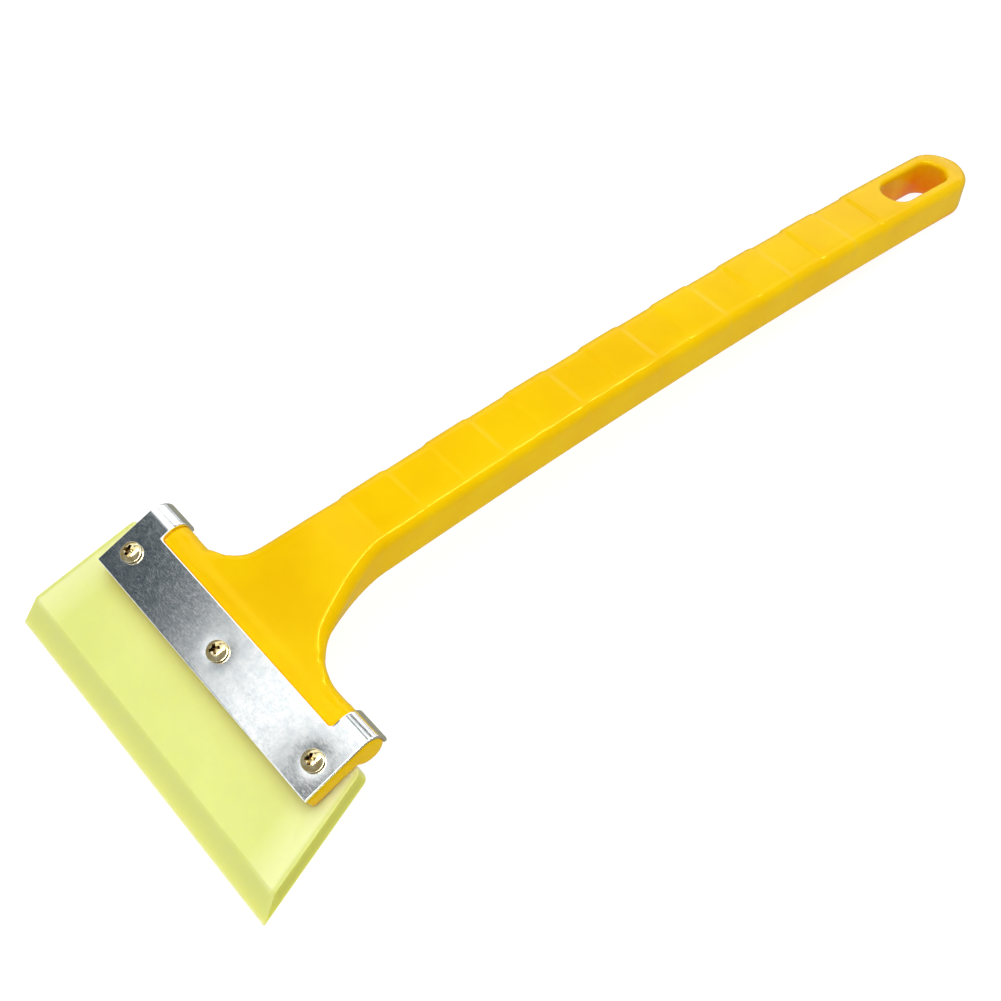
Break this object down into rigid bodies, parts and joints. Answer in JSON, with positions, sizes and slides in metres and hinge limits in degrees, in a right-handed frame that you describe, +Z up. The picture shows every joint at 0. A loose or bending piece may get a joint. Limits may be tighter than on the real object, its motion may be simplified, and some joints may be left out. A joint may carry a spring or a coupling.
{
  "type": "squeegee applicator",
  "caption": "Long-handled squeegee with a bevelled translucent polyurethane blade, screwed under a folded steel clamp plate; a banded moulded grip ends in a hang slot.",
  "frame": {"origin": "on the table that the tool lies on, under the middle of its length and width", "axes": "+X along the working edge, +Y from the blade towards the butt of the handle, +Z up"},
  "size_m": [0.1224, 0.344, 0.0384],
  "materials": {
    "handle_plastic": "glossy moulded",
    "plate_steel": "polished sheet",
    "blade_polyurethane": "cast, translucent, satin",
    "screw_steel": "yellow zinc plate",
    "nut_steel": "zinc plate"
  },
  "bodies": {
    "tool": {"handle": "handle_plastic", "clamp_plate": "plate_steel", "blade": "blade_polyurethane", "backing_strip": "plate_steel", "nut_left": "nut_steel", "nut_middle": "nut_steel", "nut_right": "nut_steel"},
    "screw_left": {"screw_left": "screw_steel"},
    "screw_middle": {"screw_middle": "screw_steel"},
    "screw_right": {"screw_right": "screw_steel"}
  },
  "joints": [
    {"name": "screw_left_turn", "type": "hinge", "parent": "tool", "child": "screw_left", "pos_m": [-0.0435, -0.13796, 0.01794], "axis": [0, -0.2924, 0.9563], "range_deg": [0, 2280]},
    {"name": "screw_middle_turn", "type": "hinge", "parent": "tool", "child": "screw_middle", "pos_m": [0, -0.13796, 0.01794], "axis": [0, -0.2924, 0.9563], "range_deg": [0, 2280]},
    {"name": "screw_right_turn", "type": "hinge", "parent": "tool", "child": "screw_right", "pos_m": [0.0435, -0.13796, 0.01794], "axis": [0, -0.2924, 0.9563], "range_deg": [0, 2280]}
  ]
}
